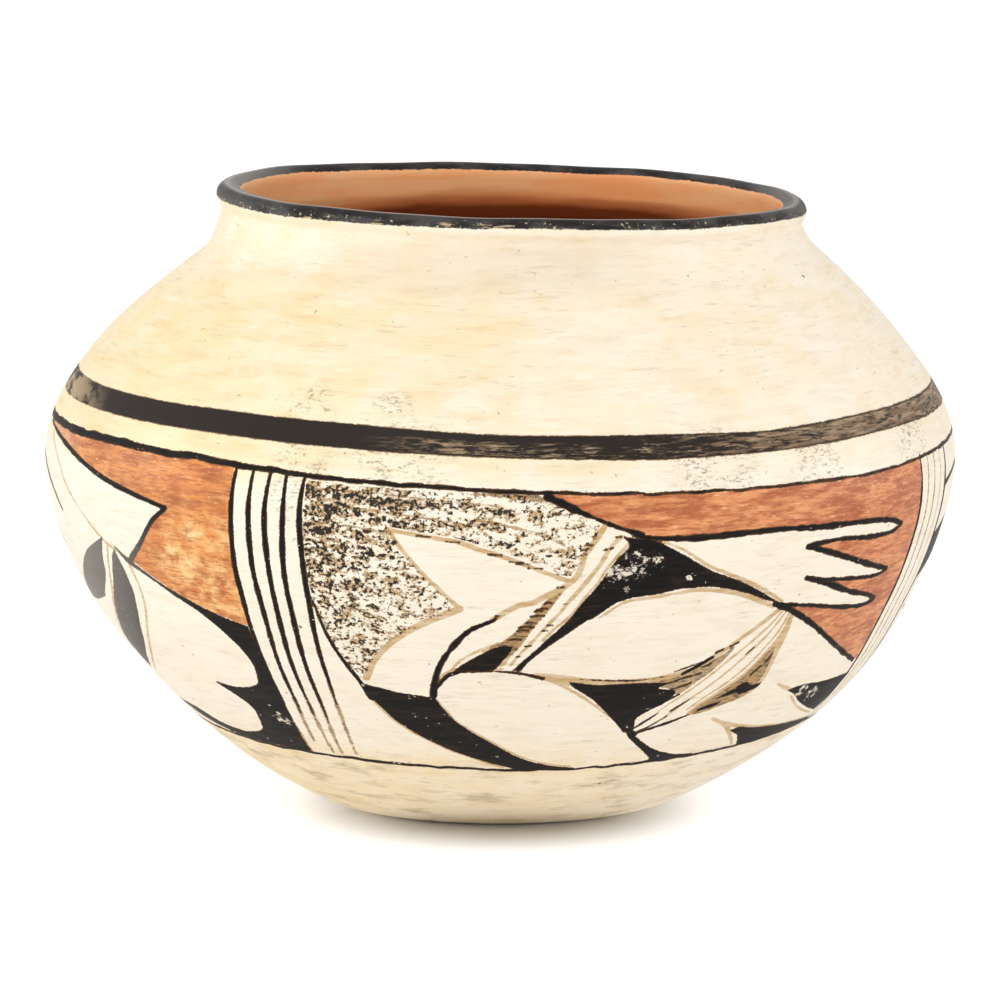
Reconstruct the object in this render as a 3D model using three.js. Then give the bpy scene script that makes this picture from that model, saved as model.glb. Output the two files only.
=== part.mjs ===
import * as THREE from 'three';

// A coil-built clay jar: a pressed base bowl, courses of clay coils, a short neck and a rounded lip.
// Lengths are in millimetres. The jar stands on z = 0, its widest level is round Z, and -Y is its front.

// Driving sizes of the outside
const foot_radius = 45;
const belly_radius = 115;
const belly_height = 88;
const shoulder_rise = 51.5;
const neck_radius = 72.9;
const neck_rise = 7.5;
const crease_flare = 3.2;
const lip_overhang = 1.2;
const lip_rise = 3.6;
const ridge_rise = 2.8;
const ridge_inset = 2.7;
const mouth_drop = 2.4;

// Driving sizes of the clay
const wall = 5.1;
const floor_thickness = 6.5;
const base_height = 24;
const wall_courses = 11;

// Fullness of the outside curves: how far each end of a curve runs straight before it turns
const foot_slope = THREE.MathUtils.degToRad(24.7);
const foot_reach = 56.5;
const belly_fullness_below = 21.3;
const belly_fullness_above = 23.2;
const crease_hollow = 1.1;
const crease_hollow_rise = 3.6;

// Handmade unevenness: the low wall and the neck stand a little to +X, and the rim is higher at -X
const low_lean = 1.7;
const low_lean_height = 60;
const neck_lean = 3.1;
const neck_lean_start = 112;
const rim_slope = 0.031;

// Smoothness of the solids
const turn_segments = 64;
const course_steps = 2;
const curve_samples = 160;

// Levels and radii that follow from the driving sizes
const crease_height = belly_height + shoulder_rise;
const crease_radius = neck_radius + crease_flare;
const waist_height = crease_height + neck_rise;
const lip_height = waist_height + lip_rise;
const lip_radius = neck_radius + lip_overhang;
const ridge_height = lip_height + ridge_rise;
const ridge_radius = lip_radius - ridge_inset;
const mouth_radius = neck_radius - wall;
const mouth_height = ridge_height - mouth_drop;

const point = (radius, height) => new THREE.Vector2(radius, height);

// The outside from the foot to the neck's narrowest level, as one path of radius and height
function outside_path() {
  const path = new THREE.CurvePath();
  path.add(new THREE.CubicBezierCurve(
    point(foot_radius, 0),
    point(foot_radius + foot_reach * Math.cos(foot_slope), foot_reach * Math.sin(foot_slope)),
    point(belly_radius, belly_height - belly_fullness_below),
    point(belly_radius, belly_height)
  ));
  path.add(new THREE.CubicBezierCurve(
    point(belly_radius, belly_height),
    point(belly_radius, belly_height + belly_fullness_above),
    point(crease_radius, crease_height),
    point(crease_radius, crease_height)
  ));
  path.add(new THREE.QuadraticBezierCurve(
    point(crease_radius, crease_height),
    point(neck_radius + crease_hollow, crease_height + crease_hollow_rise),
    point(neck_radius, waist_height)
  ));
  return path.curves.flatMap((curve, index) => {
    const samples = curve.getPoints(curve_samples);
    return index === 0 ? samples : samples.slice(1);
  });
}

// The inside runs one wall thickness behind the outside, measured square to it
function inside_path(outside) {
  return outside.map((here, index) => {
    const before = outside[Math.max(index - 1, 0)];
    const after = outside[Math.min(index + 1, outside.length - 1)];
    const along = after.clone().sub(before).normalize();
    return point(here.x - wall * along.y, here.y + wall * along.x);
  });
}

// The radius of a path at one height
function radius_at(path, height) {
  const above = path.findIndex((sample) => sample.y >= height);
  if (above < 0) return path[path.length - 1].x;
  if (above === 0) return path[0].x;
  const low = path[above - 1];
  const high = path[above];
  return THREE.MathUtils.mapLinear(height, low.y, high.y, low.x, high.x);
}

const outside = outside_path();
const inside = inside_path(outside);
const outer_radius = (height) => radius_at(outside, height);
const inner_radius = (height) => radius_at(inside, height);

// The joint levels share the outside's length evenly, as coils of one thickness do
function joint_levels() {
  const samples = outside.filter((sample) => sample.y >= base_height && sample.y <= crease_height);
  const lengths = [0];
  samples.slice(1).forEach((sample, index) => {
    lengths.push(lengths[index] + sample.distanceTo(samples[index]));
  });
  const courses = wall_courses + 1;
  const levels = [base_height];
  for (let course = 1; course < courses; course += 1) {
    const target = lengths[lengths.length - 1] * course / courses;
    levels.push(samples[lengths.findIndex((length) => length >= target)].y);
  }
  levels.push(crease_height);
  return levels;
}

// Points of one surface between two levels, both ends included
function rising(radius, low, high, steps) {
  return Array.from({ length: steps + 1 }, (unused, step) => {
    const height = THREE.MathUtils.lerp(low, high, step / steps);
    return point(radius(height), height);
  });
}

// The sideways place of each level's centre
function lean_at(height) {
  const low = height < low_lean_height ? low_lean * Math.sin(Math.PI * height / low_lean_height) ** 2 : 0;
  return low + neck_lean * THREE.MathUtils.smoothstep(height, neck_lean_start, waist_height);
}

// The rim's tilt grows from nothing at the crease to its full slope at the neck's narrowest level
function tilt_at(height) {
  return rim_slope * THREE.MathUtils.clamp((height - crease_height) / neck_rise, 0, 1);
}

// A lathe turns round Y, so its points are laid over to stand round Z, then leaned and tilted
function turned(profile) {
  const geometry = new THREE.LatheGeometry(profile, turn_segments);
  const places = geometry.attributes.position;
  for (let index = 0; index < places.count; index += 1) {
    const across = places.getX(index);
    const height = places.getY(index);
    const depth = -places.getZ(index);
    places.setXYZ(index, across + lean_at(height), depth, height - across * tilt_at(height));
  }
  geometry.computeVertexNormals();
  return geometry;
}

// One coil of clay, pressed on level joint faces to the courses under and over it
function coil_profile(low, high) {
  const outward = rising(outer_radius, low, high, course_steps);
  const inward = rising(inner_radius, low, high, course_steps).reverse();
  return [...outward, ...inward, outward[0]];
}

// The base bowl, pressed in a mould: a flat foot and floor, and the first rise of the wall
function base_profile() {
  const outward = rising(outer_radius, 0, base_height, course_steps + 1);
  const inward = rising(inner_radius, floor_thickness, base_height, course_steps + 1).reverse();
  return [point(0, 0), ...outward, ...inward, point(0, floor_thickness)];
}

// A quarter of an ellipse from one point to another, level at the end that is higher
function quarter(side, top, steps) {
  return Array.from({ length: steps + 1 }, (unused, step) => {
    const angle = Math.PI / 2 * step / steps;
    const radius = top.x + (side.x - top.x) * Math.cos(angle);
    return point(radius, side.y + (top.y - side.y) * Math.sin(angle));
  });
}

// The last coil, drawn up into the neck and rounded over into the lip
function rim_profile() {
  const lip_steps = 3;
  const ridge = point(ridge_radius, ridge_height);
  const neck = rising(outer_radius, crease_height, waist_height, course_steps + 1);
  const outer_lip = quarter(point(lip_radius, lip_height), ridge, lip_steps);
  const inner_lip = quarter(point(mouth_radius, mouth_height), ridge, lip_steps).reverse().slice(1);
  const bore = rising(inner_radius, crease_height, waist_height, course_steps + 1).reverse();
  return [...neck, ...outer_lip, ...inner_lip, ...bore, neck[0]];
}

// Fired colours: cream slip, the worn black paint of the shoulder and the rim, and red-ochre fields
const cream_slip = { color: 0xf3dfba, roughness: 0.5, metalness: 0 };
const ochre_field = { color: 0xdf9a62, roughness: 0.6, metalness: 0 };
const black_paint = { color: 0x4b4038, roughness: 0.65, metalness: 0 };

const jar = new THREE.Group();

function add_piece(name, profile, finish) {
  const piece = new THREE.Mesh(turned(profile), new THREE.MeshStandardMaterial(finish));
  piece.name = name;
  jar.add(piece);
}

add_piece('base_bowl', base_profile(), cream_slip);

// The painted panels lie between these two levels, and the black band lies over them
const panel_bottom = 34;
const band_bottom = 98;
const band_top = 110;

function course_finish(low, high) {
  const middle = (low + high) / 2;
  if (middle < panel_bottom || middle > band_top) return cream_slip;
  return middle > band_bottom ? black_paint : ochre_field;
}

const levels = joint_levels();
levels.slice(1).forEach((high, index) => {
  const low = levels[index];
  const number = String(index + 1).padStart(2, '0');
  const name = index < wall_courses ? `wall_coil_${number}` : 'neck_coil';
  add_piece(name, coil_profile(low, high), course_finish(low, high));
});

add_piece('rim_coil', rim_profile(), black_paint);

export default jar;
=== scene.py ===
import math

import bpy
import numpy as np
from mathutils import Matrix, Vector


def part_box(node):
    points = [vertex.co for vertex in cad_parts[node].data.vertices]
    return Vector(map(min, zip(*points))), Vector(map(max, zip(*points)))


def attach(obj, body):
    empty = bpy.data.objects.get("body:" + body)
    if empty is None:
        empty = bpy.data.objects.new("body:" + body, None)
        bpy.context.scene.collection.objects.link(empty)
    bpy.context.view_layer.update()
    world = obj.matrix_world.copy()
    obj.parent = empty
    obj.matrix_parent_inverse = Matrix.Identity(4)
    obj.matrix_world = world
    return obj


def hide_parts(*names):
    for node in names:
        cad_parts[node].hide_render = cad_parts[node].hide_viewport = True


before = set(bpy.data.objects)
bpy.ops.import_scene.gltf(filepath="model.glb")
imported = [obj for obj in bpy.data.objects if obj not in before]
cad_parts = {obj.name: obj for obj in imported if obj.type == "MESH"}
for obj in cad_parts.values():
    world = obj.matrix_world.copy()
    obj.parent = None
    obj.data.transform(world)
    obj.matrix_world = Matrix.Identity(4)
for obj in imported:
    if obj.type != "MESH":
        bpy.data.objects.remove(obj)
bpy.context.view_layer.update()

# Camera and stage
# The jar stands alone on a pale table and is seen from in front, 9 degrees above level.
# Its front is towards -Y. A long lens from 1.5 m keeps the mouth a thin ellipse.
MM = 0.001
view_distance = 1496.5 * MM
view_pitch = math.radians(8.694)
aim_height = 74.45 * MM
picture_width = 253.3 * MM
sensor_width = 36.0

camera = bpy.data.objects.new("camera", bpy.data.cameras.new("camera"))
camera.data.sensor_width = sensor_width
camera.data.lens = sensor_width * view_distance / picture_width
camera.location = (
    0.0,
    -view_distance * math.cos(view_pitch),
    aim_height + view_distance * math.sin(view_pitch))
camera.rotation_euler = (math.pi / 2 - view_pitch, 0.0, 0.0)
bpy.context.scene.collection.objects.link(camera)
bpy.context.scene.camera = camera
bpy.context.scene.view_settings.view_transform = "Standard"


def linear(colour):
    """An sRGB hex colour as linear red, green, blue and alpha."""
    parts = [int(colour[start:start + 2], 16) / 255 for start in (1, 3, 5)]
    light = [part / 12.92 if part <= 0.04045 else ((part + 0.055) / 1.055) ** 2.4
             for part in parts]
    return (*light, 1.0)


def add(kind, inputs=(), **settings):
    """Adds one node to the tree being built. Its inputs are in socket order, or under each socket's name
    or number. An input is a value, a hex colour, a socket, or a node, which stands for its first output."""
    made = tree.nodes.new("ShaderNode" + kind)
    for name, setting in settings.items():
        setattr(made, name, setting)
    named = inputs if isinstance(inputs, dict) else dict(enumerate(inputs))
    for socket, part in named.items():
        if isinstance(part, bpy.types.Node):
            part = part.outputs[0]
        if isinstance(part, bpy.types.NodeSocket):
            tree.links.new(part, made.inputs[socket])
        else:
            made.inputs[socket].default_value = linear(part) if isinstance(part, str) else part
    return made


def new_tree(owner):
    """Empties a material's or world's node tree and returns it."""
    owner.use_nodes = True
    owner.node_tree.nodes.clear()
    return owner.node_tree


room_light = 0.77
world = bpy.data.worlds.new("white studio")
bpy.context.scene.world = world
tree = new_tree(world)
rays = add("LightPath")
strength = add("MapRange", {"Value": rays.outputs["Is Camera Ray"], "To Min": room_light})
sky = add("Background", {"Color": "#ffffff", "Strength": strength})
add("OutputWorld", {"Surface": sky})

# The table glows more and more away from the foot, so it reads white. Leaving the glow out round the foot
# paints part of the soft contact shadow, and the glow also lights the jar from below.
table_span = 6.0
table_white = "#c4c2bf"
soft = {"interpolation_type": "SMOOTHSTEP"}
table = bpy.data.materials.new("glowing white table")
tree = new_tree(table)
matt = add("BsdfDiffuse", {"Color": table_white})
centre = add("TexCoord")
shaped = add("Mapping", {"Vector": centre.outputs["Object"], "Location": (0.0, 20 * MM, 0.0),
                         "Scale": (1.17, 1.0, 1.0)})
away = add("VectorMath", [shaped], operation="LENGTH").outputs["Value"]
# seen_lift is the glow the camera sees; bounced_lift is a weaker glow that lights the jar's lower wall.
seen_lift = add("MapRange", [away, 32 * MM, 69 * MM, 0.0, 0.72], **soft)
bounced_lift = add("MapRange", [away, 26 * MM, 46 * MM, 0.0, 0.42], **soft)
rays = add("LightPath")
lift = add("Mix", {0: rays.outputs["Is Camera Ray"], 2: bounced_lift, 3: seen_lift}, data_type="FLOAT")
glow = add("Emission", {"Strength": lift})
both = add("AddShader", [matt, glow])
add("OutputMaterial", {"Surface": both})
half = table_span / 2
table_corners = [(-half, -half, 0), (half, -half, 0), (half, half, 0), (-half, half, 0)]
floor_mesh = bpy.data.meshes.new("table")
floor_mesh.from_pydata(table_corners, [], [(0, 1, 2, 3)])
floor_mesh.materials.append(table)
floor = bpy.data.objects.new("table", floor_mesh)
bpy.context.scene.collection.objects.link(floor)


def softbox(name, place, aim, size, power):
    """A large square studio lamp at place, turned towards aim."""
    lamp = bpy.data.lights.new(name, "AREA")
    lamp.shape = "SQUARE"
    lamp.size = size
    lamp.energy = power
    holder = bpy.data.objects.new(name, lamp)
    holder.location = place
    holder.rotation_euler = (Vector(aim) - Vector(place)).to_track_quat("-Z", "Y").to_euler()
    bpy.context.scene.collection.objects.link(holder)


softbox("softbox above", place=(-0.5, -1.1, 1.2), aim=(0.0, 0.0, 0.08), size=0.9, power=6.6)
softbox("softbox front", place=(-0.2, -1.7, 0.33), aim=(0.0, 0.0, 0.08), size=0.35, power=2.5)
softbox("softbox left", place=(-1.4, 0.1, 0.35), aim=(0.0, 0.0, 0.08), size=0.7, power=4.5)
softbox("softbox right", place=(1.4, 0.0, 0.2), aim=(0.0, 0.0, 0.07), size=0.7, power=4.4)

# Base bowl
# The foot, the floor and the first rise of the wall: a pancake of clay pressed into a shallow mould.
# Fired clay, scraped thin and smoothed by hand, so its round is a little uneven.
belly_radius = 115.0
belly_height = 88.0
foot_radius = 45.0
foot_slope = math.radians(24.7)
foot_reach = 56.5
fullness_below = 21.3
fullness_above = 23.2
crease_height = 139.5
crease_radius = 76.1
neck_radius = 72.9
neck_height = 147.0
crease_hollow = 1.1
crease_hollow_rise = 3.6
wall = 5.1
floor_thickness = 6.5
low_lean = 1.7
low_lean_height = 60.0
neck_lean = 3.1
neck_lean_start = 112.0
rim_slope = 0.031


def bezier(points, count=400):
    """Points along a Bezier curve of any degree."""
    t = np.linspace(0.0, 1.0, count)[:, None]
    degree = len(points) - 1
    return sum(math.comb(degree, k) * (1 - t) ** (degree - k) * t ** k * np.array(point)
               for k, point in enumerate(points))


def directions(curve):
    """The unit direction of a curve at each of its points."""
    steps = np.gradient(curve, axis=0)
    return steps / np.linalg.norm(steps, axis=1)[:, None]


outside = np.concatenate([
    bezier([(foot_radius, 0.0),
            (foot_radius + foot_reach * math.cos(foot_slope), foot_reach * math.sin(foot_slope)),
            (belly_radius, belly_height - fullness_below),
            (belly_radius, belly_height)]),
    bezier([(belly_radius, belly_height),
            (belly_radius, belly_height + fullness_above),
            (crease_radius, crease_height),
            (crease_radius, crease_height)])[1:-1],
    bezier([(crease_radius, crease_height),
            (neck_radius + crease_hollow, crease_height + crease_hollow_rise),
            (neck_radius, neck_height)]),
])


def lengths_along(curve):
    """The length of a curve from its start to each of its points."""
    return np.concatenate([[0.0], np.cumsum(np.linalg.norm(np.diff(curve, axis=0), axis=1))])


def read_off(curve, along, stations):
    """Both columns of a curve at some stations; along holds the station of each of its points."""
    return np.stack([np.interp(stations, along, curve[:, axis]) for axis in (0, 1)], axis=1)


def eased(curve, window):
    """A curve with its bends spread over a window of neighbouring points."""
    before = 2 * curve[0] - curve[window:0:-1]
    after = 2 * curve[-1] - curve[-2:-window - 2:-1]
    padded = np.concatenate([before, curve, after])
    weights = np.hanning(2 * window + 3)[1:-1]
    weights /= weights.sum()
    return np.stack([np.convolve(padded[:, axis], weights, mode="valid") for axis in (0, 1)], axis=1)


station_count = 1600
crease_easing = 32
along = lengths_along(outside)
outside = read_off(outside, along, np.linspace(0.0, along[-1], station_count))
outside = eased(outside, crease_easing)
facing = directions(outside)
inside = outside + wall * np.stack([-facing[:, 1], facing[:, 0]], axis=1)


def rows_between(curve, low, high, spacing):
    """Evenly spaced points of a rising curve between two heights: radius and height."""
    along = lengths_along(curve)
    start, end = np.interp([low, high], curve[:, 1], along)
    stations = np.linspace(start, end, max(2, round((end - start) / spacing)) + 1)
    return read_off(curve, along, stations)


def smoothstep(low, high, value):
    """0 below low, 1 above high, and a soft rise between them."""
    t = np.clip((value - low) / (high - low), 0.0, 1.0)
    return t * t * (3 - 2 * t)


def lean_at(height):
    """How far each level's centre stands towards +X."""
    low = np.where(height < low_lean_height, low_lean * np.sin(np.pi * height / low_lean_height) ** 2, 0.0)
    return low + neck_lean * smoothstep(neck_lean_start, neck_height, height)


def hand_unevenness(turn, height):
    """What the potter's hands leave outside: slow swells of a fifth of a millimetre."""
    swell = 0.22 * np.sin(2 * turn + 0.9 + height / 60) + 0.14 * np.sin(3 * turn - 0.8 - height / 31)
    ripple = 0.07 * np.sin(7 * turn + height / 13) + 0.05 * np.sin(height / 3.1 + 1.5 * np.sin(2 * turn))
    return (swell + ripple) * smoothstep(0.0, 12.0, height)


def place(profile, turn):
    """Turns profile points (radius, height) round the jar's leaning, uneven axis, in millimetres."""
    radius = profile[:, 0][:, None]
    height = profile[:, 1][:, None]
    turn = turn[None, :]
    radius = radius + hand_unevenness(turn, height) * smoothstep(0.0, 20.0, radius)
    across = radius * np.sin(turn)
    tilt = rim_slope * np.clip((height - crease_height) / (neck_height - crease_height), 0.0, 1.0)
    waver = 0.2 * np.sin(3 * turn + 1.0) + 0.12 * np.sin(8 * turn) + 0.06 * np.sin(17 * turn + 0.5)
    lift = waver * smoothstep(crease_height + 4, neck_height + 5, height)
    depth = -radius * np.cos(turn)
    return np.stack([across + lean_at(height), depth, height - across * tilt + lift], axis=2)


def outward(profile, turn):
    """The unit normals of a turned profile that runs up the outside and down the inside."""
    step = 0.2
    turn_step = 0.002
    along = directions(profile)
    on_wall = np.abs(np.interp(profile[:, 1], outside[:, 1], outside[:, 0]) - profile[:, 0]) < 0.01
    wall_run = read_off(facing, outside[:, 1], profile[:, 1])
    along[on_wall] = wall_run[on_wall]
    rise = place(profile + step * along, turn) - place(profile - step * along, turn)
    sweep = place(profile, turn + turn_step) - place(profile, turn - turn_step)
    normal = np.cross(sweep, rise)
    return normal / np.linalg.norm(normal, axis=2)[:, :, None]


def strip_map(rows, columns, strips, low, high):
    """Map corners for a turned band, cut into strips that are stacked between two heights of the map."""
    margin = 0.003
    per_strip = columns // strips
    column = np.arange(columns)
    left = margin + (column % per_strip) / per_strip * (1 - 2 * margin)
    right = left + (1 - 2 * margin) / per_strip
    share = (high - low) / strips
    bottom = low + (column // per_strip) * share + margin
    height = bottom[None, :] + rows[:, None] * (share - 2 * margin)
    corners = np.empty((len(rows) - 1, columns, 4, 2))
    corners[:, :, 0, 0] = corners[:, :, 3, 0] = left
    corners[:, :, 1, 0] = corners[:, :, 2, 0] = right
    corners[:, :, 0, 1] = corners[:, :, 1, 1] = height[:-1]
    corners[:, :, 2, 1] = corners[:, :, 3, 1] = height[1:]
    return corners


def shares(profile):
    """How far along its own length each point of a profile is, from 0 to 1."""
    along = lengths_along(profile)
    return along / along[-1]


walls = {}


def turn_piece(name, outer, inner, columns, strips, closed=True):
    """Turns a piece of wall: up the outer rows, over the joint face, down the inner rows and back.
    A piece that isn't closed by a joint face below, the base bowl, ends in two poles on the axis."""
    turn = np.arange(columns) * 2 * np.pi / columns
    profile = np.concatenate([outer, inner])
    rows = len(profile)
    points = place(profile, turn).reshape(-1, 3)
    normals = np.concatenate([outward(outer, turn), outward(inner, turn)]).reshape(-1, 3)
    this_row = np.arange(rows if closed else rows - 1)
    next_row = (this_row + 1) % rows
    column = np.arange(columns)
    beside = (column + 1) % columns
    quads = np.stack([
        this_row[:, None] * columns + column, this_row[:, None] * columns + beside,
        next_row[:, None] * columns + beside, next_row[:, None] * columns + column], axis=2)
    behind = shares(np.concatenate([outer[-1:], inner, outer[:1]] if closed else [outer[-1:], inner]))
    outer_room = 0.86
    pole_spot = 0.999
    corner_map = np.concatenate([
        strip_map(shares(outer), columns, strips, 0.0, outer_room),
        strip_map(behind, columns, strips, outer_room, 1.0)])
    faces = quads.reshape(-1)
    corner_map = corner_map.reshape(-1, 2)
    sizes = np.full(this_row.size * columns, 4)
    if not closed:
        points = np.concatenate([points, [(0.0, 0.0, outer[0, 1]), (0.0, 0.0, inner[-1, 1])]])
        normals = np.concatenate([normals, [(0.0, 0.0, -1.0), (0.0, 0.0, 1.0)]])
        low_pole, high_pole = rows * columns, rows * columns + 1
        last = (rows - 1) * columns
        fans = np.stack([np.full(columns, low_pole), beside, column], axis=1)
        caps = np.stack([last + column, last + beside, np.full(columns, high_pole)], axis=1)
        faces = np.concatenate([faces, fans.reshape(-1), caps.reshape(-1)])
        corner_map = np.concatenate([corner_map, np.full((columns * 6, 2), pole_spot)])
        sizes = np.concatenate([sizes, np.full(columns * 2, 3)])
    mesh = bpy.data.meshes.new(name)
    mesh.vertices.add(len(points))
    mesh.vertices.foreach_set("co", (points * MM).astype(np.float32).reshape(-1))
    mesh.loops.add(len(faces))
    mesh.loops.foreach_set("vertex_index", faces.astype(np.int32))
    mesh.polygons.add(len(sizes))
    mesh.polygons.foreach_set("loop_start", np.concatenate([[0], np.cumsum(sizes)[:-1]]).astype(np.int32))
    mesh.update(calc_edges=True)
    mesh.uv_layers.new(name="OFBake").uv.foreach_set("vector", corner_map.astype(np.float32).reshape(-1))
    mesh.polygons.foreach_set("use_smooth", np.ones(len(sizes), dtype=bool))
    mesh.normals_split_custom_set_from_vertices(normals.astype(np.float32))
    piece = bpy.data.objects.new(name, mesh)
    bpy.context.scene.collection.objects.link(piece)
    walls[name] = (outer, columns)
    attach(piece, "root")
    return piece


column_count = 1920
plain_columns = 1440
paint_spacing = 0.38
plain_spacing = 2.5
inner_spacing = 4.0

base_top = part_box("wall_coil_01")[0][2] / MM
painted_bottom = 19.0
foot_disc = np.stack([np.linspace(4.0, foot_radius - 2.2, 5), np.zeros(5)], axis=1)
foot_edge = bezier([(foot_radius - 2.0, 0.0), (foot_radius + 0.9, 0.1), (foot_radius + 2.8, 1.3)], 8)
floor_rim = np.interp(floor_thickness, inside[:, 1], inside[:, 0])
floor_disc = np.stack([np.linspace(floor_rim, 4.0, 6), np.full(6, floor_thickness)], axis=1)
base_wall = np.concatenate([
    foot_edge,
    rows_between(outside, 2.0, painted_bottom, plain_spacing),
    rows_between(outside, painted_bottom, base_top, paint_spacing)[1:]])
base_inner = np.concatenate([
    rows_between(inside, floor_thickness, base_top, inner_spacing)[::-1],
    floor_disc[1:]])
base_outer = np.concatenate([foot_disc, base_wall])
base = turn_piece("base_bowl_clay", base_outer, base_inner, column_count, 6, closed=False)
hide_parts("base_bowl")

# Wall coils
# Eleven ropes of clay, each pinched to the one below and scraped until the joints are gone.
# Their borders are level, as the joints under the slip are, and their meshes meet without a step.
coil_names = ["wall_coil_%02d" % number for number in range(1, 12)]
painted_top = 113.0


def add_coil(node, columns, spacing):
    """One course between the levels that the frame gives it."""
    low, high = (corner[2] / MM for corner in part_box(node))
    outer = rows_between(outside, low, high, spacing)
    inner = rows_between(inside, low, high, inner_spacing)[::-1]
    piece = turn_piece(node + "_clay", outer, inner, columns, 8)
    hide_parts(node)
    return piece


coils = []
for node in coil_names:
    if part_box(node)[0][2] / MM < painted_top:
        coils.append(add_coil(node, column_count, paint_spacing))
    else:
        coils.append(add_coil(node, plain_columns, plain_spacing))

# Neck coil
# The last course of the shoulder, which closes in to the crease under the neck.
# It is slipped and polished like the wall, with no paint.
neck = add_coil("neck_coil", plain_columns, plain_spacing)

# Rim coil
# The last rope, drawn up into the short neck and rounded over into a lip 6 mm thick.
# Its top was painted black with a full brush, a little way down both sides.
lip_radius = 74.1
lip_height = 150.6
ridge_radius = 71.4
ridge_height = 153.4
mouth_radius = neck_radius - wall
mouth_height = 151.0


def quarter(side, top, count):
    """A quarter of an ellipse from its side point up to its top point."""
    angle = np.linspace(0.0, np.pi / 2, count)
    return np.stack([top[0] + (side[0] - top[0]) * np.cos(angle),
                     side[1] + (top[1] - side[1]) * np.sin(angle)], axis=1)


neck_outer = rows_between(outside, crease_height, neck_height, 0.5)
under_lip = bezier([(neck_radius, neck_height), (neck_radius, neck_height + 1.9),
                    (lip_radius, lip_height - 1.6), (lip_radius, lip_height)], 10)
lip_outer = quarter((lip_radius, lip_height), (ridge_radius, ridge_height), 10)
lip_inner = quarter((mouth_radius, mouth_height), (ridge_radius, ridge_height), 12)[::-1]
bore = np.concatenate([
    rows_between(inside, crease_height, neck_height, 1.0),
    [(mouth_radius, mouth_height - 1.5)]])[::-1]
rim_outer = np.concatenate([neck_outer, under_lip[1:], lip_outer[1:], lip_inner[1:]])
rim = turn_piece("rim_coil_clay", rim_outer, bore, plain_columns, 6)
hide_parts("rim_coil")

clay_pieces = [base] + coils + [neck, rim]

# Painting
# Two-colour mineral paint over the slip, laid with a chewed-leaf brush before the firing.
# Shapes are given as turn in degrees from the front (towards +X) and height in millimetres. A layer
# holds how deep each point of the wall lies inside its painted shapes, in millimetres.
reach = 3.0
painted_rows = []
row_owners = []
for piece in [base] + coils:
    outer = walls[piece.name][0]
    first = int(np.searchsorted(outer[:, 1], painted_bottom))
    if outer[0, 1] < painted_top:
        row_owners.append((piece, first, len(painted_rows), len(outer) - first))
        painted_rows.extend(outer[first:])
grid_rows = np.array(painted_rows)
grid_heights = grid_rows[:, 1]
grid_step = 360.0 / column_count
grid_turns = np.radians(np.arange(column_count) * grid_step)
grid_places = place(grid_rows, grid_turns)
layer_names = ("black", "umber", "wash", "ochre", "stipple")
layers = {name: np.full((len(grid_rows), column_count), -reach) for name in layer_names}


def smooth_curve(points):
    """A smooth line through points of turn and height, as closely spaced points."""
    spacing = 0.4
    wall_per_height = 1.25
    points = np.array(points, dtype=float)
    if len(points) == 2:
        knots = points
    else:
        ends = [2 * points[0] - points[1], 2 * points[-1] - points[-2]]
        padded = np.concatenate([ends[:1], points, ends[1:]])
        t = np.linspace(0.0, 1.0, 24, endpoint=False)[:, None]
        parts = []
        for a, b, c, d in zip(padded, padded[1:], padded[2:], padded[3:]):
            parts.append(0.5 * (2 * b + (c - a) * t + (2 * a - 5 * b + 4 * c - d) * t ** 2
                                + (3 * b - a - 3 * c + d) * t ** 3))
        knots = np.concatenate(parts + [points[-1:]])
    radius = np.interp(knots[:, 1], outside[:, 1], outside[:, 0])
    flat = np.stack([np.radians(knots[:, 0]) * radius, knots[:, 1] * wall_per_height], axis=1)
    along = lengths_along(flat)
    stations = np.linspace(0.0, along[-1], max(2, int(along[-1] / spacing) + 1))
    return read_off(knots, along, stations)


def dab(layer, turn, height, half_width):
    """Presses one round touch of paint into a layer."""
    span = half_width + reach
    radius = np.interp(height, outside[:, 1], outside[:, 0])
    low, high = np.searchsorted(grid_heights, [height - span, height + span])
    if low == high:
        return
    wide = math.degrees(span / radius)
    columns = np.arange(math.floor((turn - wide) / grid_step), math.ceil((turn + wide) / grid_step) + 1)
    columns %= column_count
    here = place(np.array([[radius, height]]), np.array([math.radians(turn)]))[0, 0]
    window = np.ix_(range(low, high), columns)
    depth = half_width - np.linalg.norm(grid_places[window] - here, axis=2)
    layer[window] = np.maximum(layer[window], depth)


def stroke(layer, points, width, ends=1.0, rough=0.0):
    """Draws one brush stroke. width is one size or one for each point, ends thins the two tips, and
    rough lets the width jump as it does where the brush runs dry."""
    tip_share = 0.12
    jump_every = 3
    line = smooth_curve(points)
    share = np.linspace(0.0, 1.0, len(line))
    along = share * len(line)
    widths = np.interp(share, np.linspace(0.0, 1.0, np.size(width)), np.atleast_1d(width))
    taper = ends + (1 - ends) * np.clip(np.minimum(share, 1 - share) / tip_share, 0.0, 1.0)
    swell = brush.uniform(0.0, 6.28)
    hand = 1 + 0.05 * np.sin(along * 0.09 + swell) + 0.03 * np.sin(along * 0.31 + swell)
    jumps = brush.uniform(-1.0, 1.0, len(line) // jump_every + 2)
    hand = hand + rough * np.interp(np.arange(len(line)), np.arange(len(jumps)) * jump_every, jumps)
    for (turn, height), half_width in zip(line, widths / 2 * taper * hand):
        dab(layer, turn, height, half_width)


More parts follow.
